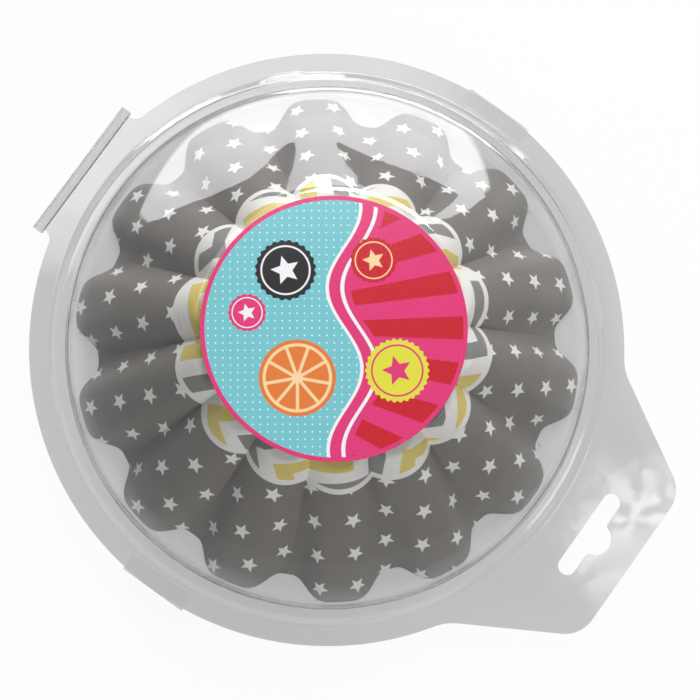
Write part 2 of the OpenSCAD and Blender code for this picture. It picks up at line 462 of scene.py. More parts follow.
class Dressing:
    """A material with one Principled shader, and what most finishes do to it."""

    def __init__(self, name: str) -> None:
        """Makes the material.

        Args:
            name: The material's name.
        """
        self.material = bpy.data.materials.new(name)
        self.material.use_nodes = True
        self.tree = self.material.node_tree
        self.shader = self.tree.nodes["Principled BSDF"]
        self.output = self.tree.nodes["Material Output"]

    def set(self, **values: object) -> None:
        """Sets the shader's own sockets, with spaces written as underscores."""
        for title, value in values.items():
            plug(self.tree, self.shader.inputs[title.replace("_", " ")], value)

    def bump(self, height: Signal, depth: float, strength: float = 1.0) -> None:
        """Raises the surface by a height.

        Args:
            height: The height, round 0.5.
            depth: Depth in metres of a height of 1.
            strength: Share of the effect.
        """
        node = self.tree.nodes.new("ShaderNodeBump")
        node.inputs["Distance"].default_value = depth
        node.inputs["Strength"].default_value = strength
        plug(self.tree, node.inputs["Height"], height)
        self.tree.links.new(node.outputs["Normal"], self.shader.inputs["Normal"])

    def mix(self, share: Signal, other: bpy.types.Node) -> None:
        """Shows another shader in place of the Principled one.

        Args:
            share: How much of the other one shows, from 0 to 1.
            other: The other shader's node.
        """
        node = self.tree.nodes.new("ShaderNodeMixShader")
        for place, value in enumerate((share, self.shader.outputs[0], other.outputs[0])):
            plug(self.tree, node.inputs[place], value)
        self.tree.links.new(node.outputs[0], self.output.inputs["Surface"])

    def attribute(self, name: str) -> bpy.types.Node:
        """Adds a node that reads an attribute of the piece's mesh.

        Args:
            name: The attribute's name.

        Returns:
            The node.
        """
        node = self.tree.nodes.new("ShaderNodeAttribute")
        node.attribute_name = name
        return node

    def plane(self, vector: bpy.types.NodeSocket) -> Plane:
        """A place in millimetres, from a vector in metres.

        Args:
            vector: The socket with the vector.

        Returns:
            Its X and Y.
        """
        node = self.tree.nodes.new("ShaderNodeSeparateXYZ")
        self.tree.links.new(vector, node.inputs[0])
        return Plane(*(Signal(self.tree, node.outputs[axis]) * (1 / MM) for axis in "XY"))

    def object_place(self) -> bpy.types.NodeSocket:
        """The place in the object's own frame."""
        return self.tree.nodes.new("ShaderNodeTexCoord").outputs["Object"]


@dataclass(frozen=True)
class StarPrint:
    """White stars on grey, on a square grid that was printed before the paper was pressed."""

    pitch: float = 14.84
    turn: float = 42.58
    shift_x: float = -0.57
    shift_y: float = -0.54
    arms: int = 5
    tip: float = 3.5
    waist: float = 0.45
    soft: float = 0.25
    ground: Colour = linear(121, 117, 112)
    star: Colour = linear(243, 243, 240)

    def mask(self, flat: Plane) -> Signal:
        """Where the stars are.

        Args:
            flat: The place on the flat paper.

        Returns:
            The mask, 1 on a star.
        """
        cell = flat.turned(self.turn).moved(self.shift_x, self.shift_y).tiled(self.pitch)
        return cell.star(self.arms, self.tip, self.tip * self.waist, 0.0, self.soft)


@dataclass(frozen=True)
class BasePrint:
    """Yellow and grey zigzag bands on white, inside a white scalloped border."""

    turn: float = -2.04
    band: float = 8.2
    tooth: float = 32.46
    slope: float = 0.98
    shift_x: float = 35.0
    shift_y: float = 11.6
    border: float = 2.9
    border_soft: float = 0.25
    band_soft: float = 0.3
    white: Colour = linear(240, 239, 233)
    yellow: Colour = linear(226, 206, 112)
    grey: Colour = linear(138, 136, 133)

    def lay(self, paint: Paint, flat: Plane, inside: Signal) -> None:
        """Lays the print over the ground.

        Args:
            paint: The colours so far.
            flat: The place on the flat paper.
            inside: Distance inwards from the border's outer edge.
        """
        field_mask = inside.over(self.border, self.border_soft)
        turned = flat.turned(self.turn).moved(self.shift_x, self.shift_y)
        rise = turned.y + turned.x.fold(self.tooth) * self.slope
        phase = rise.centred(4 * self.band)
        yellow = phase.between(-2 * self.band, -self.band, self.band_soft)
        grey = phase.between(0.0, self.band, self.band_soft)
        paint.lay(inside.over(0.0, self.border_soft), self.white)
        paint.lay(yellow * field_mask, self.yellow)
        paint.lay(grey * field_mask, self.grey)


@dataclass(frozen=True)
class PaperFinish:
    """Satin coated baking paper, printed on one side."""

    stars: StarPrint = StarPrint()
    base: BasePrint = BasePrint()
    roughness: float = 0.42
    plain: Colour = linear(236, 235, 230)
    relief: float = 0.00025

    def printed(self, effects: Effects) -> bpy.types.Material:
        """The printed side.

        Args:
            effects: The shared shader groups.

        Returns:
            The material.
        """
        dressing = Dressing("printed_paper")
        flat = dressing.plane(dressing.attribute("flat_paper").outputs["Vector"])
        inside = Signal(dressing.tree, dressing.attribute("inside_border").outputs["Fac"])
        grain = effects.grain.use(dressing.tree, Fibre_scale=1500.0, Cockle_scale=70.0)
        paint = Paint(dressing.tree, self.stars.ground)
        paint.lay(self.stars.mask(flat), self.stars.star)
        self.base.lay(paint, flat, inside)
        paint.lay((grain["Tint"] - 0.5).size() * 0.5, (0.45, 0.44, 0.42), "MULTIPLY")
        dressing.set(
            Base_Color=paint.colour,
            Roughness=grain["Tint"] * 0.12 + (self.roughness - 0.06),
            Specular_IOR_Level=0.45,
            Sheen_Weight=0.06,
            Sheen_Roughness=0.4,
        )
        dressing.bump(grain["Height"], self.relief, 0.6)
        return dressing.material

    def inside(self, effects: Effects) -> bpy.types.Material:
        """The plain white side, which the dough touches.

        Args:
            effects: The shared shader groups.

        Returns:
            The material.
        """
        dressing = Dressing("plain_paper")
        grain = effects.grain.use(dressing.tree, Fibre_scale=1200.0, Cockle_scale=70.0)
        paint = Paint(dressing.tree, self.plain)
        paint.lay(grain["Tint"].over(0.55, 0.3) * 0.25, (0.66, 0.64, 0.58))
        dressing.set(Base_Color=paint.colour, Roughness=0.55, Specular_IOR_Level=0.4)
        dressing.bump(grain["Height"], self.relief, 0.7)
        return dressing.material


@dataclass(frozen=True)
class ClearFinish:
    """A clear plastic, seen through by lamps as well as by the eye."""

    name: str
    tint: Colour = (0.965, 0.962, 0.958)
    roughness: float = 0.02
    refraction: float = 1.5
    haze: float = 0.05
    wave_depth: float = 0.0004
    shade: Colour = (0.93, 0.93, 0.935)
    scratch_shade: Colour = (0.75, 0.76, 0.78)
    steep: float = 0.7
    grazing_painted_shade: Colour = (0.5, 0.51, 0.53)

    def material(self, effects: Effects) -> bpy.types.Material:
        """Builds the material.

        Args:
            effects: The shared shader groups.

        Returns:
            The material. Shadow and diffuse rays pass straight through its sheet.
        """
        dressing = Dressing(self.name)
        wear = effects.wear.use(dressing.tree, Wave_scale=28.0, Haze=1.0)
        paint = Paint(dressing.tree, self.tint)
        paint.lay(wear["Scratch"] * 0.1, self.scratch_shade)
        # Painted shade: the sheet's colour darkens towards grazing angles. A little of this is the longer
        # path through the tinted plastic, but most of it is painted shade that stands in for the dark lines
        # reflections draw on the bead and the dome's walls.
        weight = dressing.tree.nodes.new("ShaderNodeLayerWeight")
        steep = Signal(dressing.tree, weight.outputs["Facing"]).over(self.steep, 0.5)
        paint.lay(steep * 0.5, self.grazing_painted_shade)
        dressing.set(
            Base_Color=paint.colour,
            Roughness=wear["Haze"] * self.haze + wear["Scratch"] * 0.12 + self.roughness,
            IOR=self.refraction,
        )
        dressing.shader.inputs["Transmission Weight"].default_value = 1.0
        dressing.bump(wear["Height"], self.wave_depth, 0.5)
        shadow, diffuse = rays(dressing.tree, "Shadow", "Diffuse")
        through = dressing.tree.nodes.new("ShaderNodeBsdfTransparent")
        through.inputs["Color"].default_value = (*self.shade, 1.0)
        dressing.mix(shadow.greater(diffuse), through)
        return dressing.material


@dataclass(frozen=True)
class LabelFinish:
    """A glossy round paper label with a generic print of dots, rays, a wave, scalloped discs and fruit."""

    radius: float = 47.0
    turn: float = 36.0
    rim: float = 1.6
    dot_pitch: float = 2.6
    dot_r: float = 0.32
    wave_h: float = 6.0
    wave_rate: float = 0.11
    wave_y: float = 3.0
    ray_turn: float = 9.0
    soft: float = 0.15
    pink: Colour = linear(222, 52, 118)
    red: Colour = linear(199, 20, 38)
    turquoise: Colour = linear(116, 195, 203)
    white: Colour = linear(240, 240, 243)
    yellow: Colour = linear(224, 219, 60)
    black: Colour = linear(26, 23, 25)
    orange: Colour = linear(226, 122, 52)
    cream: Colour = linear(247, 214, 160)

    def material(self, effects: Effects) -> bpy.types.Material:
        """Builds the material.

        Args:
            effects: The shared shader groups.

        Returns:
            The material.
        """
        dressing = Dressing("label_card")
        tree = dressing.tree
        card = dressing.plane(dressing.object_place()).turned(self.turn)
        paint = Paint(tree, self.turquoise)
        dot = card.tiled(self.dot_pitch).reach()
        paint.lay(dot.under(self.dot_r, 0.12) * 0.8, self.white)
        self._wave(paint, card)
        self._slice(paint, card.moved(17.5, -13.0), 13.5)
        for x, y, radius, teeth, colour, line in (
            (-20.5, -17.0, 10.5, 24, self.black, self.white),
            (15.0, 22.0, 11.0, 30, self.yellow, self.pink),
            (-5.5, -30.5, 6.5, 18, self.pink, self.white),
            (-24.0, 14.0, 8.0, 20, self.red, self.cream),
        ):
            self._disc(paint, card.moved(x, y), radius, teeth, colour, line)
        paint.lay(card.reach().over(self.radius - self.rim, 0.2), self.pink)
        grain = effects.grain.use(tree, Fibre_scale=900.0, Cockle_scale=25.0)
        dressing.set(
            Base_Color=paint.colour,
            Roughness=grain["Tint"] * 0.06 + 0.24,
            Specular_IOR_Level=0.5,
            Coat_Weight=0.9,
            Coat_Roughness=0.08,
        )
        dressing.bump(grain["Height"], 0.0002, 0.35)
        return dressing.material

    def _wave(self, paint: Paint, card: Plane) -> None:
        """Lays a striped field beyond a waved edge.

        Args:
            paint: The colours so far.
            card: The place on the label.
        """
        edge = card.y - (card.x * self.wave_rate).sine() * self.wave_h - self.wave_y
        spread = (card.moved(0.0, -60.0).bearing() * (180 / math.pi)).fold(self.ray_turn)
        paint.lay(edge.over(0.0, self.soft), self.white)
        paint.lay(edge.over(1.2, self.soft), self.pink)
        paint.lay(spread.under(self.ray_turn / 4, 0.1) * edge.over(9.0, self.soft), self.red)
        paint.lay(edge.between(5.2, 6.6, self.soft), self.white)

    def _disc(
        self, paint: Paint, centre: Plane, radius: float, teeth: int, colour: Colour, line: Colour
    ) -> None:
        """Lays a scalloped disc with a thin ring and a small star in it.

        Args:
            paint: The colours so far.
            centre: The place measured from the disc's centre.
            radius: The disc's radius.
            teeth: Number of scallops.
            colour: Colour of the disc.
            line: Colour of the ring and the star.
        """
        reach = centre.reach()
        edge = reach + (centre.bearing() * float(teeth)).cosine() * (radius * 0.03)
        paint.lay(edge.under(radius, self.soft), colour)
        paint.lay(reach.between(radius * 0.78, radius * 0.84, 0.12), line)
        paint.lay(centre.star(5, radius * 0.5, radius * 0.23, 0.9, self.soft), line)

    def _slice(self, paint: Paint, centre: Plane, radius: float) -> None:
        """Lays a round slice of fruit.

        Args:
            paint: The colours so far.
            centre: The place measured from the slice's centre.
            radius: The slice's radius.
        """
        reach = centre.reach()
        paint.lay(reach.under(radius, self.soft), self.orange)
        paint.lay(reach.under(radius * 0.9, self.soft), self.cream)
        away = centre.bearing().fold(math.tau / 9)
        parts = reach.under(radius * 0.82, 0.3) * (reach * away.sine()).over(0.55, 0.3)
        paint.lay(parts * reach.over(radius * 0.14, 0.4), self.orange)


@dataclass(frozen=True)
class FluteRule:
    """The rule that a fluted wall follows, as in the part's source."""

    rim_r: float = 95.0
    base_r: float = 50.0
    height: float = 60.0
    flutes: int = 14
    depth_rim: float = 9.3
    depth_base: float = 6.0
    crease: float = 1.35
    even_share: float = 0.75
    level_h: float = 4.0

    @property
    def pitch(self) -> float:
        """Angle of one flute in degrees."""
        return 360 / self.flutes

    def wave(self, f: np.ndarray, z: np.ndarray) -> np.ndarray:
        """Height of the wave across a flute, from 0 in the crease to 1 at the tip.

        Args:
            f: Place across the flute, from -1 to 1.
            z: Height above the rim.

        Returns:
            The wave's height.
        """
        a = np.minimum(np.abs(f), 1.0)
        rounded = 0.5 + 0.5 * np.cos(np.pi * a**self.crease)
        steep = rounded * rounded * (3 - 2 * rounded)
        share = np.minimum(1.0, z / (self.even_share * self.height))
        return steep * (1 - share) + (1 - a * a) * share

    def point(self, f: np.ndarray, z: np.ndarray) -> np.ndarray:
        """Places on the outermost wall, over the flute that points to +Y.

        Args:
            f: Place across the flute, which may run past -1 or 1.
            z: Height above the rim.

        Returns:
            The points, in millimetres above the rim.
        """
        tip = self.rim_r - (self.rim_r - self.base_r) * z / self.height
        depth = self.depth_rim - (self.depth_rim - self.depth_base) * z / self.height
        folded = np.where(np.abs(f) > 1, 2 - np.abs(f), f)
        radius = tip - depth * (1 - self.wave(folded, z))
        angle = np.radians(90 + f * self.pitch / 2)
        return np.stack([radius * np.cos(angle), radius * np.sin(angle), z], axis=-1)

    def normal(self, f: np.ndarray, z: np.ndarray) -> np.ndarray:
        """Outward normals of the wall, which lie level at the rim.

        Args:
            f: Place across the flute, from -1 to 1.
            z: Height above the rim.

        Returns:
            The normals, each of length 1.
        """
        df, dz = 0.03, 0.5
        mid = np.clip(z, dz, self.height - dz)
        round_way = self.point(f + df, mid) - self.point(f - df, mid)
        up = self.point(f, mid + dz) - self.point(f, mid - dz)
        normal = np.cross(round_way, up)
        normal[..., 2] *= np.clip(z / self.level_h, 0, 1)
        return normal / np.linalg.norm(normal, axis=-1, keepdims=True)


def make_object(name: str, mesh: bpy.types.Mesh) -> bpy.types.Object:
    """Links a new object at the origin.

    Args:
        name: The object's name.
        mesh: Its mesh.

    Returns:
        The object.
    """
    piece = bpy.data.objects.new(name, mesh)
    bpy.context.scene.collection.objects.link(piece)
    return piece


@dataclass
class Shape:
    """Points in millimetres, and faces as numbers of points."""

    points: list[Point3] = field(default_factory=list)
    faces: list[Face] = field(default_factory=list)

    def row(self, points: list[Point3]) -> list[int]:
        """Adds points and gives their numbers."""
        self.points += points
        return list(range(len(self.points) - len(points), len(self.points)))

    def skin(self, rows: list[list[int]]) -> None:
        """Adds the faces between neighbouring rows of points that close on themselves.

        Args:
            rows: Numbers of the points. A number that a face has twice counts once.
        """
        for here, after in zip(rows, rows[1:]):
            for i, j in enumerate([*range(1, len(here)), 0]):
                self.faces.append(tuple(dict.fromkeys((here[i], here[j], after[j], after[i]))))

    def bar(self, sections: list[list[Point3]]) -> None:
        """Adds a bar with closed ends.

        Args:
            sections: Its cross-sections, each out along one side and back along the other.
        """
        rows = [self.row(section) for section in sections]
        self.skin(rows)
        for end in (rows[0], rows[-1]):
            self.faces += [(end[i], end[i + 1], end[-2 - i], end[-1 - i]) for i in range(len(end) // 2 - 1)]

    def lathe(self, sections: list[np.ndarray], poles: list[float]) -> list[list[int]]:
        """Adds a skin round the Z axis.

        Args:
            sections: Radii and heights of the skin, one section for each of the equal turns.
            poles: Height of the point on the axis where the skin starts, and of any where it ends.

        Returns:
            The numbers of the points, ring by ring.
        """
        ends = [self.row([(0.0, 0.0, z)]) * len(sections) for z in poles]
        columns = []
        for i, section in enumerate(sections):
            cos, sin = math.cos(math.tau * i / len(sections)), math.sin(math.tau * i / len(sections))
            columns.append(self.row([(r * cos, r * sin, z) for r, z in section]))
        rings = [ends[0], *map(list, zip(*columns)), *ends[1:]]
        self.skin(rings)
        return rings

    def mesh(self, name: str, crisp: float = 40.0) -> bpy.types.Mesh:
        """Makes a smooth mesh whose faces point outwards.

        Args:
            name: The mesh's name.
            crisp: Angle in degrees past which an edge stays sharp.

        Returns:
            The mesh, in metres.
        """
        mesh = bpy.data.meshes.new(name)
        mesh.from_pydata([tuple(c * MM for c in p) for p in self.points], [], self.faces)
        work = bmesh.new()
        work.from_mesh(mesh)
        bmesh.ops.recalc_face_normals(work, faces=work.faces)
        work.to_mesh(mesh)
        work.free()
        smooth(mesh, crisp)
        return mesh


def smooth(mesh: bpy.types.Mesh, crisp: float) -> None:
    """Shades a mesh smooth, but for edges past an angle in degrees."""
    mesh.polygons.foreach_set("use_smooth", [True] * len(mesh.polygons))
    mesh.set_sharp_from_angle(angle=math.radians(crisp))


class FluteRing:
    """A Geometry Nodes tree that repeats one flute round the mould's axis."""

    SOCKETS = (
        ("Geometry", "INPUT", "Geometry"),
        ("Flutes", "INPUT", "Int"),
        ("Printed side", "INPUT", "Material"),
        ("Plain side", "INPUT", "Material"),
        ("Geometry", "OUTPUT", "Geometry"),
    )
    CRISP = 50.0
    SEAM = 0.000004

    def __init__(self) -> None:
        """Builds the tree."""
        self.tree = bpy.data.node_groups.new("Ring of flutes", "GeometryNodeTree")
        for title, way, kind in self.SOCKETS:
            self.tree.interface.new_socket(title, in_out=way, socket_type="NodeSocket" + kind)
        self.given = self._node("NodeGroupInput").outputs
        self._node("NodeGroupOutput", {"Geometry": self._dressed(self._joined(self._repeated()))})

    def _node(self, kind: str, inputs: dict[str, object] | None = None, **settings: object) -> bpy.types.Node:
        """Adds a node.

        Args:
            kind: The node's type.
            inputs: Sockets, signals or plain values for its inputs, by name.
            settings: The node's properties.

        Returns:
            The node.
        """
        node = self.tree.nodes.new(kind)
        for title, value in settings.items():
            setattr(node, title, value)
        for title, value in (inputs or {}).items():
            plug(self.tree, node.inputs[title], value)
        return node

    def _stored(self, name: str, kind: str) -> bpy.types.NodeSocket:
        """An attribute that is stored on the mesh."""
        node = self._node("GeometryNodeInputNamedAttribute", {"Name": name}, data_type=kind)
        return node.outputs["Attribute"]

    def _turn(self, number: bpy.types.NodeSocket) -> Signal:
        """Angle of the flute with a number."""
        return Signal(self.tree, number) * math.tau / Signal(self.tree, self.given["Flutes"])

    def _repeated(self) -> bpy.types.NodeSocket:
        """One instance of the flute for each turn, with its number stored on it.

        Returns:
            The instances.
        """
        points = self._node("GeometryNodePoints", {"Count": self.given["Flutes"]})
        index = self._node("GeometryNodeInputIndex").outputs[0]
        euler = self._node("ShaderNodeCombineXYZ", {"Z": self._turn(index)})
        placed = {
            "Points": points.outputs[0],
            "Instance": self.given["Geometry"],
            "Rotation": euler.outputs[0],
        }
        spread = self._node("GeometryNodeInstanceOnPoints", placed)
        kept = {"Geometry": spread.outputs[0], "Name": "flute_number", "Value": index}
        store = self._node("GeometryNodeStoreNamedAttribute", kept, data_type="FLOAT", domain="INSTANCE")
        return store.outputs[0]

    def _joined(self, instances: bpy.types.NodeSocket) -> bpy.types.NodeSocket:
        """Realises the flutes, turns their flat-paper places and closes the seams.

        Args:
            instances: The instances of the flute.

        Returns:
            One closed mesh.
        """
        real = self._node("GeometryNodeRealizeInstances", {"Geometry": instances})
        turned = {
            "Vector": self._stored("flat_paper", "FLOAT_VECTOR"),
            "Angle": self._turn(self._stored("flute_number", "FLOAT")),
        }
        turn = self._node("ShaderNodeVectorRotate", turned, rotation_type="Z_AXIS")
        kept = {"Geometry": real.outputs[0], "Name": "flat_paper", "Value": turn.outputs[0]}
        store = self._node("GeometryNodeStoreNamedAttribute", kept, data_type="FLOAT_VECTOR", domain="POINT")
        merged = {"Geometry": store.outputs[0], "Distance": self.SEAM}
        return self._node("GeometryNodeMergeByDistance", merged).outputs[0]

    def _dressed(self, mesh: bpy.types.NodeSocket) -> bpy.types.NodeSocket:
        """Gives the two sides their materials.

        Args:
            mesh: The closed mesh.

        Returns:
            The finished mesh.
        """
        whole = {"Geometry": mesh, "Material": self.given["Plain side"]}
        plain = self._node("GeometryNodeSetMaterial", whole)
        chosen = {
            "Geometry": plain.outputs[0],
            "Selection": self._stored("printed", "BOOLEAN"),
            "Material": self.given["Printed side"],
        }
        return self._node("GeometryNodeSetMaterial", chosen).outputs[0]

    def applied(self, name: str, flute: bpy.types.Mesh, values: dict[str, object]) -> bpy.types.Object:
        """Runs the tree on a flute and keeps the result as a plain mesh.

        Args:
            name: Name of the finished piece.
            flute: The mesh of one flute.
            values: The tree's inputs by name.

        Returns:
            The finished piece.
        """
        piece = make_object(name, flute)
        modifier = piece.modifiers.new("Ring of flutes", "NODES")
        modifier.node_group = self.tree
        for item in self.tree.interface.items_tree:
            if item.item_type == "SOCKET" and item.in_out == "INPUT" and item.name in values:
                modifier[item.identifier] = values[item.name]
        bpy.context.view_layer.update()
        evaluated = piece.evaluated_get(bpy.context.evaluated_depsgraph_get())
        mesh = bpy.data.meshes.new_from_object(evaluated)
        piece.modifiers.remove(modifier)
        piece.data = mesh
        bpy.data.meshes.remove(flute)
        mesh.name = name
        smooth(mesh, self.CRISP)
        return piece


@dataclass
class PaperMould:
    """One pressed paper mould, upside down."""

    name: str
    inset: float
    rise: float
    columns: int
    levels: int
    rule: FluteRule = field(default_factory=FluteRule)
    paper: float = 0.35
    border_z: float = 50.0
    border_r: float = 57.0
    border_even: float = 0.5
    paper_reach: float = 0.79
    edge_soft: float = 1.4
    even_h: float = 9.0
    deep_inside: float = 60.0

    def build(
        self, ring: FluteRing, printed: bpy.types.Material, plain: bpy.types.Material
    ) -> bpy.types.Object:
        """Builds the mould.

        Args:
            ring: The tree that repeats the flute.
            printed: Material of the outer side.
            plain: Material of the inner side.

        Returns:
            The mould, which stands for its node.
        """
        values = {"Flutes": self.rule.flutes, "Printed side": printed, "Plain side": plain}
        piece = ring.applied(self.name.replace("mould", "paper"), self._flute(), values)
        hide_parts(self.name)
        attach(piece, Body.MOULD_STACK.value)
        return piece

    def _across(self) -> np.ndarray:
        """Places across a flute, closer together near the creases."""
        u = np.linspace(-1, 1, self.columns + 1)
        return u * (1.5 - 0.5 * u * u)

    def _skin(self, inset: float) -> np.ndarray:
        """Points of one side of the paper over one flute, from the rim to near the base's centre.

        Args:
            inset: Distance inwards from the outermost wall.

        Returns:
            The points, by row and column.
        """
        f = self._across()
        rule = self.rule
        z = np.linspace(0, rule.height - self.edge_soft, self.levels)
        ff, zz = np.meshgrid(f, z)
        wall = rule.point(ff, zz) - inset * rule.normal(ff, zz)
        top = np.full_like(f, rule.height)
        corner = rule.point(f, top) - inset * rule.normal(f, top)
        corner[:, 2] = rule.height - inset
        radius = np.linalg.norm(corner[:, :2], axis=1, keepdims=True)
        inner = corner.copy()
        inner[:, :2] *= (radius - self.edge_soft) / radius
        rows = [wall]
        for t in (0.25, 0.5, 0.75, 1.0):
            rows.append(((1 - t) ** 2 * wall[-1] + 2 * t * (1 - t) * corner + t * t * inner)[None])
        for share in (0.8, 0.5, 0.2):
            disc = inner.copy()
            disc[:, :2] *= share
            rows.append(disc[None])
        return np.concatenate(rows)

    def _flat_paper(self, skin: np.ndarray) -> tuple[np.ndarray, np.ndarray]:
        """Where each point lay on the flat paper, and how far it lies inside the border.

        Args:
            skin: The outer points, by row and column.

        Returns:
            Places on the flat paper and distances inside the border, both in millimetres.
        """
        rule = self.rule
        f = self._across()
        z = skin[: self.levels, 0, 2]
        ff, zz = np.meshgrid(f, z)
        wall = rule.point(ff, zz)
        top = rule.point(f, np.full_like(f, rule.height))
        down = np.linalg.norm(np.diff(wall, axis=0), axis=2)[::-1].cumsum(axis=0)[::-1]
        last = np.linalg.norm(top - wall[-1], axis=1)
        reach = np.concatenate([down + last, last[None]]) + np.linalg.norm(top[:, :2], axis=1)
        along = np.linalg.norm(np.diff(wall, axis=1), axis=2).cumsum(axis=1)
        along = np.concatenate([np.zeros((len(z), 1)), along], axis=1)
        share = along / along[:, -1:] * 2 - 1
        blend = np.clip((rule.height - zz) / self.even_h, 0, 1)
        share = share * blend + ff * (1 - blend)
        angle = np.radians(90 + share * rule.pitch / 2)
        rest = skin[self.levels :]
        rest_r = np.linalg.norm(rest[..., :2], axis=2)
        reach_all = np.concatenate([reach, rest_r])
        border = np.array([np.interp(self.border_z, z, reach[:, j]) for j in range(len(f))])
        border += self.border_even * (border.max() - border)
        inside_border = border[None] - reach_all
        shrunk = self.border_r + (reach_all - self.border_r) * self.paper_reach
        reach_all = np.where(reach_all > self.border_r, shrunk, reach_all)
        rest_angle = np.broadcast_to(np.radians(90 + f * rule.pitch / 2), rest_r.shape)
        angle_all = np.concatenate([angle, rest_angle])
        flat = np.stack([np.cos(angle_all), np.sin(angle_all), angle_all * 0], axis=-1)
        return flat * reach_all[..., None], inside_border

    def _flute(self) -> bpy.types.Mesh:
        """One flute with both sides of the paper and the rim's cut edge.

        Returns:
            The mesh, with flat_paper, inside_border and printed stored on it.
        """
        outer = self._skin(self.inset)
        inner = self._skin(self.inset + self.paper)
        rows, columns = outer.shape[:2]
        flat, inside_border = self._flat_paper(outer)
        centre = self.rule.height - self.inset
        points = [*outer.reshape(-1, 3), *inner.reshape(-1, 3), (0, 0, centre), (0, 0, centre - self.paper)]
        half = rows * columns
        printed: list[Face] = []
        for a in range(half - 1):
            if (a + 1) % columns:
                lower = a + columns
                printed.append((a, lower, lower + 1, a + 1) if lower < half else (a, 2 * half, a + 1))
        twin = {2 * half: 2 * half + 1}
        plain = [tuple(twin.get(v, v + half) for v in reversed(face)) for face in printed]
        plain += [(j, j + 1, half + j + 1, half + j) for j in range(columns - 1)]
        mesh = bpy.data.meshes.new(self.name + "_flute")
        mesh.from_pydata([(x * MM, y * MM, (z + self.rise) * MM) for x, y, z in points], [], printed + plain)
        flat_all = np.concatenate([flat.reshape(-1, 3), flat.reshape(-1, 3), np.zeros((2, 3))]) * MM
        depths = np.concatenate([inside_border.ravel(), inside_border.ravel(), [self.deep_inside] * 2])
        for name, kind, domain, key, values in (
            ("flat_paper", "FLOAT_VECTOR", "POINT", "vector", flat_all.astype(np.float32).ravel()),
            ("inside_border", "FLOAT", "POINT", "value", depths.astype(np.float32)),
            ("printed", "BOOLEAN", "FACE", "value", [True] * len(printed) + [False] * len(plain)),
        ):
            mesh.attributes.new(name, kind, domain).data.foreach_set(key, values)
        return mesh


def polar(radius: float, degrees: float) -> Vector:
    """The point at a distance from the centre and an angle from the X axis."""
    return Vector((math.cos(math.radians(degrees)), math.sin(math.radians(degrees)))) * radius


def arc(centre: Point2, radius: float, start: float, end: float, steps: int) -> list[Point2]:
    """Points along an arc.

    Args:
        centre: Centre of the arc.
        radius: Radius of the arc.
        start: First angle in degrees.
        end: Last angle in degrees.
        steps: Number of steps.

    Returns:
        The points, both ends among them.
    """
    angles = np.radians(np.linspace(start, end, steps + 1))
    return [(centre[0] + radius * math.cos(a), centre[1] + radius * math.sin(a)) for a in angles]


def rounded(corners: list[tuple[float, float, float]], steps: int = 6) -> list[Point2]:
    """A path through corners that are rounded by their own radii.

    Args:
        corners: Corners as x, y and radius.
        steps: Steps in each rounding.

    Returns:
        The points of the path.
    """
    path: list[Point2] = [corners[0][:2]]
    for before, here, after in zip(corners, corners[1:], corners[2:]):
        p, a, b = Vector(here[:2]), Vector(before[:2]), Vector(after[:2])
        u, v = (a - p).normalized(), (b - p).normalized()
        half = u.angle(v) / 2
        reach = here[2] / math.tan(half)
        start, end = p + u * reach, p + v * reach
        centre = p + (u + v).normalized() * (here[2] / math.sin(half))
        first, last = start - centre, end - centre
        turn = first.angle_signed(last)
        for i in range(steps + 1):
            angle = -turn * i / steps
            cos, sin = math.cos(angle), math.sin(angle)
            path.append((centre.x + first.x * cos - first.y * sin, centre.y + first.x * sin + first.y * cos))
    path.append(corners[-1][:2])
    return path


def offset(path: np.ndarray, distance: float) -> np.ndarray:
    """A path moved to its left.

    Args:
        path: Points as rows of two numbers.
        distance: How far it moves.

    Returns:
        The moved points.
    """
    way = np.gradient(path, axis=0)
    ahead = np.diff(path, axis=0)
    ahead /= np.linalg.norm(ahead, axis=1, keepdims=True)
    way[1:-1] = ahead[1:] + ahead[:-1]
    way[0], way[-1] = ahead[0], ahead[-1]
    normal = np.stack([-way[:, 1], way[:, 0]], axis=1)
    size = (normal * normal).sum(axis=1, keepdims=True)
    scale = np.where(np.arange(len(path))[:, None] % (len(path) - 1) == 0, 1.0, 2.0)
    return path + distance * normal * scale / size


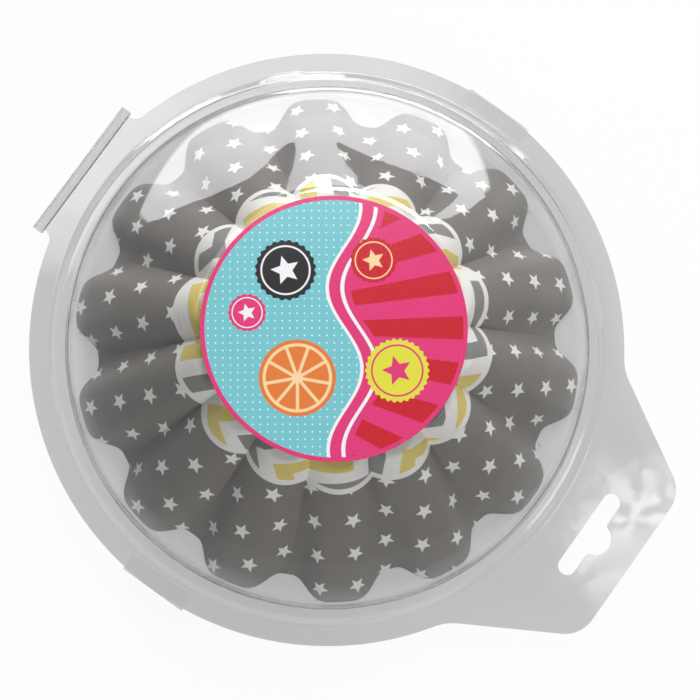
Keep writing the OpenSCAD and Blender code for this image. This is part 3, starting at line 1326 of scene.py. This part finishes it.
@dataclass
class ClearCase:
    """The clear case: a tray and a domed lid, formed from one sheet and joined by a thin fold."""

    sheet: float = 0.4
    part_gap: float = 0.15
    flange_z: float = 8.6
    flange_r: float = 111.0
    flange_in_r: float = 105.4
    floor_edge_r: float = 95.6
    floor_step: float = 20.0
    floor_fillet: float = 1.2
    bead_in_r: float = 96.8
    bead_mid_r: float = 98.8
    bead_out_r: float = 100.93
    bead_foot_r: float = 103.8
    bead_h: float = 3.0
    bead_fillet: float = 0.8
    bead_foot_fillet: float = 0.9
    bead_step: float = 0.45
    plateau_z: float = 68.7
    plateau_r: float = 49.5
    plateau_step: float = 16.0
    dome_foot_r: float = 97.0
    foot_bend: float = 1.0
    knee_r: float = 7.0
    snap_out: float = 0.9
    snap_in: float = 0.5
    snap_sweep: float = 8.5
    snap_fade: float = 1.2
    snap_h: float = 2.35
    tab_angle: float = 30.0
    tab_r: float = 12.5
    tab_x: float = 25.3
    tab_out: float = 27.6
    tab_fillet: float = 20.0
    slot_half_w: float = 14.4
    slot_r: float = 3.45
    slot_out: float = 8.6
    slot_fillet: float = 1.5
    bay_out: float = 2.8
    bay_r: float = 6.1
    flap_half_w: float = 26.5
    flap_lap: float = 0.01
    notch_r: float = 4.0
    hinge_len: float = 56.0
    roll_r: float = 2.1
    hinge_reach: float = 115.4
    film: float = 0.3
    film_h: float = 0.8
    film_bend: float = 0.35
    around: int = 432
    along: int = 15

    @property
    def hinge_z(self) -> float:
        """Height of the fold's axis."""
        return self.flange_z + self.part_gap / 2

    @property
    def roll_y(self) -> float:
        """Place of the rolled edge's own axis."""
        return self.roll_r - self.hinge_reach

    def build(self, effects: Effects) -> list[bpy.types.Object]:
        """Builds tray, lid and fold.

        Args:
            effects: The shared shader groups.

        Returns:
            The three pieces.
        """
        clear = ClearFinish("clear_sheet").material(effects)
        fold = ClearFinish("clear_fold", tint=(0.9, 0.91, 0.92), roughness=0.08, haze=0.1).material(effects)
        pieces = []
        for side, body, node in ((Side.TRAY, Body.CASE_BASE, "case_tray"), (Side.LID, Body.LID, "case_lid")):
            piece = make_object(node.replace("case", "clear"), self._formed(side))
            piece.data.materials.append(clear)
            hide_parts(node)
            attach(piece, body.value)
            pieces.append(piece)
        crest = self._roll_angle(self.film_h)
        shape = Shape()
        self._roll(shape, 180 - crest, 180 + crest, self.film, 12)
        film = make_object("fold_film", shape.mesh("fold_film"))
        film.data.materials.append(fold)
        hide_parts("living_hinge")
        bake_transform(film)
        pieces.append(film)
        return pieces

    def _closing(self) -> np.ndarray:
        """Upper side of the tray from the bead's top outwards.

        Returns:
            Points as radius and height.
        """
        top = self.flange_z + self.bead_h
        corners = [
            (self.bead_mid_r, top, 0.0),
            (self.bead_out_r, top, self.bead_fillet),
            (self.bead_foot_r, self.flange_z, self.bead_foot_fillet),
            (self.flange_in_r, self.flange_z, 0.0),
        ]
        path = rounded(corners)
        dense: list[Point2] = [path[0]]
        for a, b in zip(path, path[1:]):
            parts = math.ceil(math.dist(a, b) / self.bead_step) if a[0] > self.bead_out_r else 1
            dense += np.linspace(a, b, max(1, parts) + 1)[1:].tolist()
        return np.array(dense)

    def _path(self, side: Side) -> np.ndarray:
        """The side of the sheet that faces the other part, from the centre outwards.

        Args:
            side: Tray or lid.

        Returns:
            Points as radius and height.
        """
        closing = self._closing()
        if side is Side.TRAY:
            top = self.flange_z + self.bead_h
            corners = [
                (3 * self.floor_step, self.sheet, 0.0),
                (self.floor_edge_r, self.sheet, self.floor_fillet),
                (self.bead_in_r, top, self.bead_fillet),
                (self.bead_mid_r, top, 0.0),
            ]
            start = [(n * self.floor_step, self.sheet) for n in range(3)]
            return np.array([*start, *rounded(corners, 8)[:-1], *closing])
        return np.array([*self._dome(), *offset(closing, self.part_gap)])

    def _dome(self) -> list[Point2]:
        """The lid's under side from its centre to the foot of the dome.

        Returns:
            Points as radius and height.
        """
        foot_z = self.flange_z + self.part_gap + self.bead_h
        rise = self.plateau_z - foot_z
        spread = self.dome_foot_r - self.plateau_r
        knee = math.degrees(math.atan(rise / (2 * spread)))
        reach = self.knee_r * math.tan(math.radians(knee) / 2)
        top_z = self.plateau_z - 1.5 * reach * math.sin(math.radians(knee))
        path = [(n * self.plateau_step, self.plateau_z) for n in range(3)]
        path += arc((self.plateau_r - reach, self.plateau_z - self.knee_r), self.knee_r, 90, 90 - knee, 7)
        for share in np.linspace(0, 1, 26):
            z = top_z + (foot_z + self.foot_bend - top_z) * share
            path.append((self.plateau_r + spread * (1 - ((z - foot_z) / rise) ** 2), z))
        centre = (self.dome_foot_r + self.foot_bend, foot_z + self.foot_bend)
        path += arc(centre, self.foot_bend, 190, 270, 6)
        return path

    def _with_snaps(self, path: np.ndarray, angle: float) -> np.ndarray:
        """The path at one angle, pushed out where a snap is.

        Args:
            path: Points as radius and height.
            angle: Angle in degrees from the X axis.

        Returns:
            The points at that angle.
        """
        away = abs(angle % 90 - 45)
        weight = np.clip((self.snap_sweep / 2 - away) / self.snap_fade + 0.5, 0, 1)
        if weight == 0:
            return path
        share = np.clip(self.snap_h - (path[:, 1] - self.flange_z), 0, 1)
        share = share * share * (3 - 2 * share)
        moved = path.copy()
        outside = path[:, 0] > self.bead_out_r - self.snap_in
        moved[:, 0] += np.where(outside, self.snap_out * weight * share, 0)
        return moved

    def _outline(self) -> list[Point2]:
        """Outer edge of the flange with the hang tab and the flap.

        Returns:
            The points of the edge, from the fold anticlockwise.
        """
        corner = Vector((self.tab_x, self.flange_r + self.tab_out - self.tab_r))
        side_reach = corner.dot(polar(1, self.tab_angle)) + self.tab_r
        reach = self.flange_r + self.tab_fillet
        blend = self.tab_angle + math.degrees(math.acos((side_reach + self.tab_fillet) / reach))
        notch_x = self.flap_half_w + self.notch_r
        notch_y = -math.sqrt((self.flange_r + self.notch_r) ** 2 - notch_x**2)
        notch_end = math.degrees(math.atan2(-notch_y, -notch_x))
        right = [(self.flap_half_w, self.roll_y + self.roll_r - self.flap_lap)]
        right += arc((notch_x, notch_y), self.notch_r, 180, notch_end, 8)
        right += arc((0, 0), self.flange_r, notch_end - 180, blend, 150)[1:-1]
        right += arc(polar(reach, blend), self.tab_fillet, blend + 180, self.tab_angle + 180, 12)
        right += arc(corner, self.tab_r, self.tab_angle, 90, 14)
        return right + [(-x, y) for x, y in reversed(right)]

    def _slot(self) -> list[Point2]:
        """Edge of the hang slot with its round bay.

        Returns:
            The points of the edge, anticlockwise.
        """
        half, radius, fillet = self.slot_half_w, self.slot_r, self.slot_fillet
        y = self.flange_r + self.slot_out
        bay_y = y + self.bay_out
        rise = radius + y + fillet - bay_y
        start = math.degrees(math.asin(rise / (self.bay_r + fillet)))
        side = math.sqrt((self.bay_r + fillet) ** 2 - rise**2)
        path = arc((half, y), radius, -90, 90, 14)
        path += arc((side, bay_y + rise), fillet, -90, start - 180, 6)
        path += arc((0, bay_y), self.bay_r, start, 180 - start, 18)[1:-1]
        path += arc((-side, bay_y + rise), fillet, -start, -90, 6)
        path += arc((-half, y), radius, 90, 270, 14)
        return path

    def _formed(self, side: Side) -> bpy.types.Mesh:
        """The closed mesh of the tray or the lid.

        Args:
            side: Tray or lid.

        Returns:
            The mesh.
        """
        path = self._path(side)
        below, above = (-self.sheet, 0.0) if side is Side.TRAY else (0.0, self.sheet)
        bent = [self._with_snaps(path, 360 * i / self.around) for i in range(self.around)]
        shape = Shape()
        rims = [
            shape.lathe([offset(line, level)[1:] for line in bent], [path[0][1] + level])[-1]
            for level in (above, below)
        ]
        self._flat_rim(shape, rims)
        start, end = self._roll_angle(self.part_gap), 180 - self._roll_angle(self.film_h)
        self._roll(shape, side.value * start, side.value * end, self.sheet, 24)
        return shape.mesh(side.name.lower() + "_sheet")

    def _flat_rim(self, shape: Shape, rims: list[list[int]]) -> None:
        """Adds the flat sheet between a ring of points and the outline, with the slot cut through.

        Args:
            shape: The shape, which grows.
            rims: Numbers of the ring's points on the upper and on the lower side.
        """
        loops = [[shape.points[i][:2] for i in rims[0]], self._outline(), self._slot()]
        ring, outline, slot = loops
        flat = sum(loops, [])
        edges: list[tuple[int, int]] = []
        for loop in loops:
            first = len(edges)
            edges += [(first + i, first + (i + 1) % len(loop)) for i in range(len(loop))]
        verts, _, tris, *_ = delaunay_2d_cdt([Vector(p) for p in flat], edges, [], 0, 1e-6)
        if len(verts) != len(flat):
            raise RuntimeError("the flat rim's outline crosses itself")
        kept = []
        for tri in tris:
            middle = sum((verts[v] for v in tri), Vector((0, 0))) / 3
            if inside(middle, outline) and not inside(middle, slot) and not inside(middle, ring):
                kept.append(tri)
        heights = [shape.points[rim[0]][2] for rim in rims]
        upper, lower = (
            [*rim, *shape.row([(*p, z) for p in flat[len(ring) :]])] for rim, z in zip(rims, heights)
        )
        shape.faces += [tuple(level[v] for v in tri) for level in (upper, lower) for tri in kept]
        shape.faces += [(upper[a], upper[b], lower[b], lower[a]) for a, b in edges[len(ring) :]]

    def _roll_angle(self, height: float) -> float:
        """Angle in degrees at which the rolled edge has half a height."""
        return math.degrees(math.asin(height / 2 / self.roll_r))

    def _roll(self, shape: Shape, start: float, end: float, wall: float, steps: int) -> None:
        """Adds part of the rolled edge, drawn along the fold.

        Args:
            shape: The shape, which grows.
            start: First angle in degrees.
            end: Last angle in degrees.
            wall: Thickness of the wall.
            steps: Steps along the arc.
        """
        centre = (self.roll_y, self.hinge_z)
        section = arc(centre, self.roll_r, start, end, steps)
        section += arc(centre, self.roll_r - wall, end, start, steps)
        stations = np.linspace(-self.hinge_len / 2, self.hinge_len / 2, self.along)
        shape.bar([[(float(x), y, z) for y, z in section] for x in stations])


def inside(p: Vector, loop: list[Point2]) -> bool:
    """Whether a point lies inside a closed loop.

    Args:
        p: The point.
        loop: Corners of the loop.

    Returns:
        True where it lies inside.
    """
    found = False
    for (x0, y0), (x1, y1) in zip(loop, loop[1:] + loop[:1]):
        if (y0 > p.y) != (y1 > p.y) and p.x < x0 + (p.y - y0) * (x1 - x0) / (y1 - y0):
            found = not found
    return found


@dataclass
class FrontLabel:
    """The round printed label on the lid's flat top."""

    radius: float = 47.0
    low: float = 69.11
    thick: float = 0.19
    around: int = 240

    def build(self, effects: Effects, back: bpy.types.Material) -> bpy.types.Object:
        """Builds the label.

        Args:
            effects: The shared shader groups.
            back: The plain paper of its underside.

        Returns:
            The label.
        """
        under = [(self.radius * 0.5, 0.0), (self.radius * 0.9, 0.0), (self.radius - 0.03, 0.0)]
        rim = [(self.radius, 0.04), (self.radius, 0.13), (self.radius - 0.06, self.thick)]
        upper = [(self.radius * share, self.thick) for share in (0.985, 0.9, 0.6, 0.3)]
        section = np.array(under + rim + upper) + (0.0, self.low)
        shape = Shape()
        shape.lathe([section] * self.around, [self.low, self.low + self.thick])
        mesh = shape.mesh("round_label")
        mesh.materials.append(LabelFinish(self.radius).material(effects))
        mesh.materials.append(back)
        for face in mesh.polygons:
            face.material_index = int(face.normal.z < -0.5)
        piece = make_object("round_label", mesh)
        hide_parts("front_label")
        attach(piece, Body.LID.value)
        return piece


@dataclass
class SealTape:
    """A clear tape over the flange's edge, slit along the parting gap."""

    length: float = 26.6
    width: float = 6.37
    thick: float = 0.12
    edge_x: float = 111.05
    lift: float = 0.012
    slack: float = 0.06
    corner_r: float = 0.6
    along: int = 25

    def build(self, material: bpy.types.Material) -> list[bpy.types.Object]:
        """Builds the four halves.

        Args:
            material: The tape's material.

        Returns:
            The halves.
        """
        pieces = []
        for hand, word in ((-1, "left"), (1, "right")):
            for side, body in ((Side.LID, Body.LID), (Side.TRAY, Body.CASE_BASE)):
                name = f"seal_{word}_{side.name.lower()}"
                piece = make_object(name.replace("seal", "tape"), self._half(hand, side))
                piece.data.materials.append(material)
                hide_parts(name)
                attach(piece, body.value)
                pieces.append(piece)
        return pieces

    def _half(self, hand: int, side: Side) -> bpy.types.Mesh:
        """One half of a tape.

        Args:
            hand: -1 for the left edge of the flange and 1 for the right one.
            side: Tray or lid.

        Returns:
            The mesh.
        """
        case = ClearCase()
        up = side.value
        part_z = case.flange_z + (case.part_gap if side is Side.LID else 0.0)
        face_z = part_z + up * case.sheet
        middle_z = face_z + up * (self.lift + self.thick) / 2
        outer_x = self.edge_x + self.thick
        end_x = outer_x - self.width
        path = [(x, middle_z) for x in (end_x, self.edge_x - 2.0, self.edge_x - 0.25)]
        path += [(self.edge_x, face_z), (self.edge_x + self.slack, face_z - up * 0.1)]
        path += [(self.edge_x + self.slack, part_z + up * 0.02)]
        half = (self.thick - self.lift) / 2
        around = [*offset(np.array(path), half), *offset(np.array(path), -half)[::-1]]
        sections = []
        for y in np.linspace(-self.length / 2, self.length / 2, self.along):
            pull = self.corner_r * max(0.0, (abs(y) - self.length / 2) / self.corner_r + 1) ** 2
            moved = [(x + pull if abs(x - end_x) < 0.2 else x, z) for x, z in around]
            sections.append([(hand * min(x, outer_x), float(y), z) for x, z in moved])
        shape = Shape()
        shape.bar(sections)
        return shape.mesh(f"tape_{hand}_{up}")


def way(bearing: float, elevation: float) -> Vector:
    """A direction from the object, by bearing from the X axis and elevation, both in degrees."""
    level = polar(math.cos(math.radians(elevation)), bearing)
    return Vector((level.x, level.y, math.sin(math.radians(elevation))))


@dataclass(frozen=True)
class Softbox:
    """An area lamp that faces the object, with angles in degrees, lengths in metres and power in watts."""

    name: str
    bearing: float
    elevation: float
    power: float
    size: Point2
    far: float = 1.4

    def build(self) -> bpy.types.Object:
        """Adds the lamp.

        Returns:
            The lamp.
        """
        light = bpy.data.lights.new(self.name, "AREA")
        light.shape = "RECTANGLE"
        light.size, light.size_y = self.size
        light.energy = self.power
        lamp = bpy.data.objects.new(self.name, light)
        lamp.location = way(self.bearing, self.elevation) * self.far
        lamp.rotation_euler = (-lamp.location).to_track_quat("-Z", "Y").to_euler()
        bpy.context.scene.collection.objects.link(lamp)
        return lamp


@dataclass
class Studio:
    """A white floor, soft light and the camera.

    The window's corners are places across and heights. Each of the glare's lines has factors of the
    place outwards and across, the value where the glare begins, and the width of its soft edge.
    """

    turn: float = 125.9
    lean: float = 193.5
    tilt: float = 6.6
    aim: Point3 = (-0.00377, 0.00734, 0.0087)
    distance: float = 1.0
    lens: float = 137.88
    sensor: float = 36.0
    nearest: float = 0.01
    floor_z: float = -0.3
    floor_half: float = 2000.0
    ceiling_z: float = 2000.0
    ceiling_half: float = 900.0
    window_far: float = 1000.0
    window: tuple[Point2, ...] = (
        (-1284, 0), (-1189, 107), (-974, 183), (-740, 275), (-557, 290), (-439, 279), (-306, 225),
        (-233, 160), (-171, 110), (-140, 112), (-138, 140), (-150, 209), (-182, 279), (-227, 332),
        (-290, 390), (-360, 600), (300, 600), (225, 390), (167, 312), (106, 263), (73, 194), (55, 130),
        (66, 122), (111, 149), (204, 186), (342, 214), (493, 216), (598, 199), (689, 190), (786, 183),
        (828, 190), (843, 215), (842, 298), (813, 393), (780, 450), (860, 440), (931, 385), (995, 221),
        (992, 0),
    )
    cool_white: Colour = (0.95, 0.95, 1.0)
    glare_lines: tuple[tuple[float, float, float, float], ...] = (
        (1.0, -0.47, 81.0, 10.0),
        (1.0, 0.86, 46.5, 10.0),
        (1.29, -1.0, 0.0, 20.0),
        (0.97, 1.0, 0.0, 20.0),
    )
    glare_r: float = 126.0
    glare_near: float = 3.8
    glare_far: float = 6.2
    window_glow: float = 3.7
    window_mirrored: float = 7.1
    window_through: float = 0.8
    table_seen: float = 1.02
    table_through: float = 0.72
    table_near: float = 0.73
    table_far: float = 0.2
    sky: float = 0.18
    sky_seen: float = 1.0
    sky_through: float = 0.48
    key: Softbox = Softbox("key_softbox", 200.0, 49.0, 15.0, (0.7, 0.5))
    fill: Softbox = Softbox("fill_softbox", 52.0, 38.0, 8.0, (0.6, 0.5))

    def build(self) -> None:
        """Builds floor, light and camera."""
        self._floor()
        self._world()
        self.key.build()
        fill = self.fill.build()
        fill.visible_glossy = fill.visible_transmission = False
        self._window()
        self._ceiling()
        self._camera()

    def _card(self, name: str, points: list[Point3]) -> bpy.types.Object:
        """Adds a flat object with one face."""
        return make_object(name, Shape(points, [tuple(range(len(points)))]).mesh(name))

    def _rays(self, tree: bpy.types.NodeTree) -> tuple[Signal, Signal, Signal]:
        """The kinds of ray that a studio surface tells apart.

        Args:
            tree: The tree that reads them.

        Returns:
            1 for rays from the camera, for mirrored rays and for rays that came through clear plastic.
        """
        seen, glossy, through = rays(tree, "Camera", "Glossy", "Transmission")
        return seen, (glossy - through).greater(0.0), through

    def _emission(self, dressing: Dressing, strength: Signal, colour: Colour) -> bpy.types.Node:
        """Adds a shader that glows.

        Args:
            dressing: The material that it goes into.
            strength: How strongly it glows.
            colour: Colour of the glow.

        Returns:
            The shader's node.
        """
        glow = dressing.tree.nodes.new("ShaderNodeEmission")
        glow.inputs["Color"].default_value = (*colour, 1.0)
        plug(dressing.tree, glow.inputs["Strength"], strength)
        return glow

    def _floor(self) -> None:
        """Adds the floor, which shows white and keeps the object's shadow."""
        half, z = self.floor_half, self.floor_z
        floor = self._card("floor", [(-half, -half, z), (half, -half, z), (half, half, z), (-half, half, z)])
        dressing = Dressing("pale_floor")
        grain = noise(dressing.tree, dressing.object_place(), 40.0, 3.0)
        paint = Paint(dressing.tree, (0.68, 0.68, 0.68)).lay(grain * 0.06, (0.6, 0.6, 0.6))
        dressing.set(Base_Color=paint.colour, Roughness=0.9, Specular_IOR_Level=0.1)
        seen, mirrored, through = self._rays(dressing.tree)
        table = dressing.plane(dressing.object_place()).turned(self.turn + 90.0)
        far = table.reach().over(150.0, 60.0)
        mirror = self._glare(table) + far * (self.table_far - self.table_near) + self.table_near
        strength = seen * self.table_seen + through * self.table_through + mirrored * mirror
        share = (seen * 0.9).greater(mirrored * (far * 0.4 + 0.6) + through * 0.6)
        dressing.mix(share, self._emission(dressing, strength, (1.0, 1.0, 1.0)))
        floor.data.materials.append(dressing.material)

    def _glare(self, table: Plane) -> Signal:
        """The glare of the window on the table, which the clear sheet mirrors.

        Args:
            table: The place on the table, with X towards the window.

        Returns:
            Its strength, which falls with the distance from the case.
        """
        reach = table.reach()
        glare = reach.over(260.0, 240.0) * (self.glare_far - self.glare_near) + self.glare_near
        glare *= reach.over(self.glare_r, 12.0)
        for out, across, edge, soft in self.glare_lines:
            glare *= (table.x * out + table.y * across).over(edge, soft)
        return glare

    def _glowing(self, card: bpy.types.Object, dressing: Dressing, strength: Signal) -> None:
        """Gives a card a material that only glows, and hides the card from the camera.

        Args:
            card: The card.
            dressing: Its material.
            strength: How strongly it glows.
        """
        glow = self._emission(dressing, strength, self.cool_white)
        dressing.tree.links.new(glow.outputs[0], dressing.output.inputs["Surface"])
        dressing.tree.nodes.remove(dressing.shader)
        card.data.materials.append(dressing.material)
        card.visible_camera = False

    def _window(self) -> None:
        """Adds the bright window whose reflection lies on the dome."""
        out, side = way(self.turn + 90.0, 0) * self.window_far, way(self.turn, 0)
        points = [(out.x + side.x * across, out.y + side.y * across, z) for across, z in self.window]
        dressing = Dressing("window_card")
        _, mirrored, through = self._rays(dressing.tree)
        strength = mirrored * (self.window_mirrored - self.window_glow)
        strength += through * (self.window_through - self.window_glow) + self.window_glow
        self._glowing(self._card("window_card", points), dressing, strength)

    def _ceiling(self) -> None:
        """Adds the bright part of the ceiling that the flat faces mirror."""
        half, z = self.ceiling_half, self.ceiling_z
        corners = [(-half, -half, z), (-half, half, z), (half, half, z), (half, -half, z)]
        ceiling = self._card("ceiling_card", corners)
        dressing = Dressing("ceiling_card")
        place = dressing.plane(dressing.object_place()).turned(self.turn + 90.0)
        broad = place.x.over(340.0, 60.0) * 1.9 - place.x.over(490.0, 80.0) * 0.7
        cloud = noise(dressing.tree, dressing.object_place(), 45.0).over(0.5, 0.08)
        spot = place.moved(0.0, -425.0).reach().under(75.0, 50.0) * (cloud * 0.8 + 0.2)
        self._glowing(ceiling, dressing, broad * place.y.over(-190.0, 130.0) + spot * 2.6 + 0.2)
        ceiling.visible_diffuse = ceiling.visible_shadow = False

    def _world(self) -> None:
        """Sets an even sky that the camera sees as white."""
        world = bpy.data.worlds.new("studio")
        bpy.context.scene.world = world
        world.use_nodes = True
        tree = world.node_tree
        back = tree.nodes["Background"]
        back.inputs["Color"].default_value = (1.0, 1.0, 1.0, 1.0)
        seen, _, through = self._rays(tree)
        strength = seen * (self.sky_seen - self.sky) + through * (self.sky_through - self.sky) + self.sky
        plug(tree, back.inputs["Strength"], strength)

    def _camera(self) -> None:
        """Adds the camera at the photograph's angle."""
        data = bpy.data.cameras.new("camera")
        data.lens = self.lens
        data.sensor_width = self.sensor
        data.clip_start = self.nearest
        camera = bpy.data.objects.new("camera", data)
        back = way(self.lean - 180, 90 - self.tilt)
        right = way(self.turn, 0)
        right = (right - back * right.dot(back)).normalized()
        camera.location = Vector(self.aim) + back * self.distance
        camera.rotation_euler = Matrix((right, back.cross(right), back)).transposed().to_euler()
        bpy.context.scene.collection.objects.link(camera)
        bpy.context.scene.camera = camera


class MouldSet:
    """The whole set, built piece by piece."""

    def __init__(self) -> None:
        """Makes the shared effects."""
        self.effects = Effects(paper_grain(), sheet_wear())

    def build(self) -> list[bpy.types.Object]:
        """Builds every piece.

        Returns:
            The pieces.
        """
        finish = PaperFinish()
        printed, plain = finish.printed(self.effects), finish.inside(self.effects)
        ring = FluteRing()
        moulds = (
            PaperMould("mould_outer", inset=0.0, rise=2.5, columns=36, levels=42),
            PaperMould("mould_middle", inset=0.5, rise=1.5, columns=24, levels=28),
            PaperMould("mould_inner", inset=1.0, rise=0.5, columns=24, levels=28),
        )
        pieces = [mould.build(ring, printed, plain) for mould in moulds]
        pieces += ClearCase().build(self.effects)
        pieces.append(FrontLabel().build(self.effects, plain))
        bare = (0.985, 0.985, 0.985)
        tape = ClearFinish("seal_tape", bare, 0.05, refraction=1.2, haze=0.15, wave_depth=0.0002, shade=bare)
        pieces += SealTape().build(tape.material(self.effects))
        return pieces


def main() -> None:
    """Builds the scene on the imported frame."""
    logging.basicConfig(level=logging.INFO, format="%(name)s: %(message)s")
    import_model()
    bpy.context.scene.view_settings.view_transform = "Standard"
    for piece in MouldSet().build():
        LOG.info("%s: %d faces", piece.name, len(piece.data.polygons))
    Studio().build()


if __name__ == "__main__":
    main()
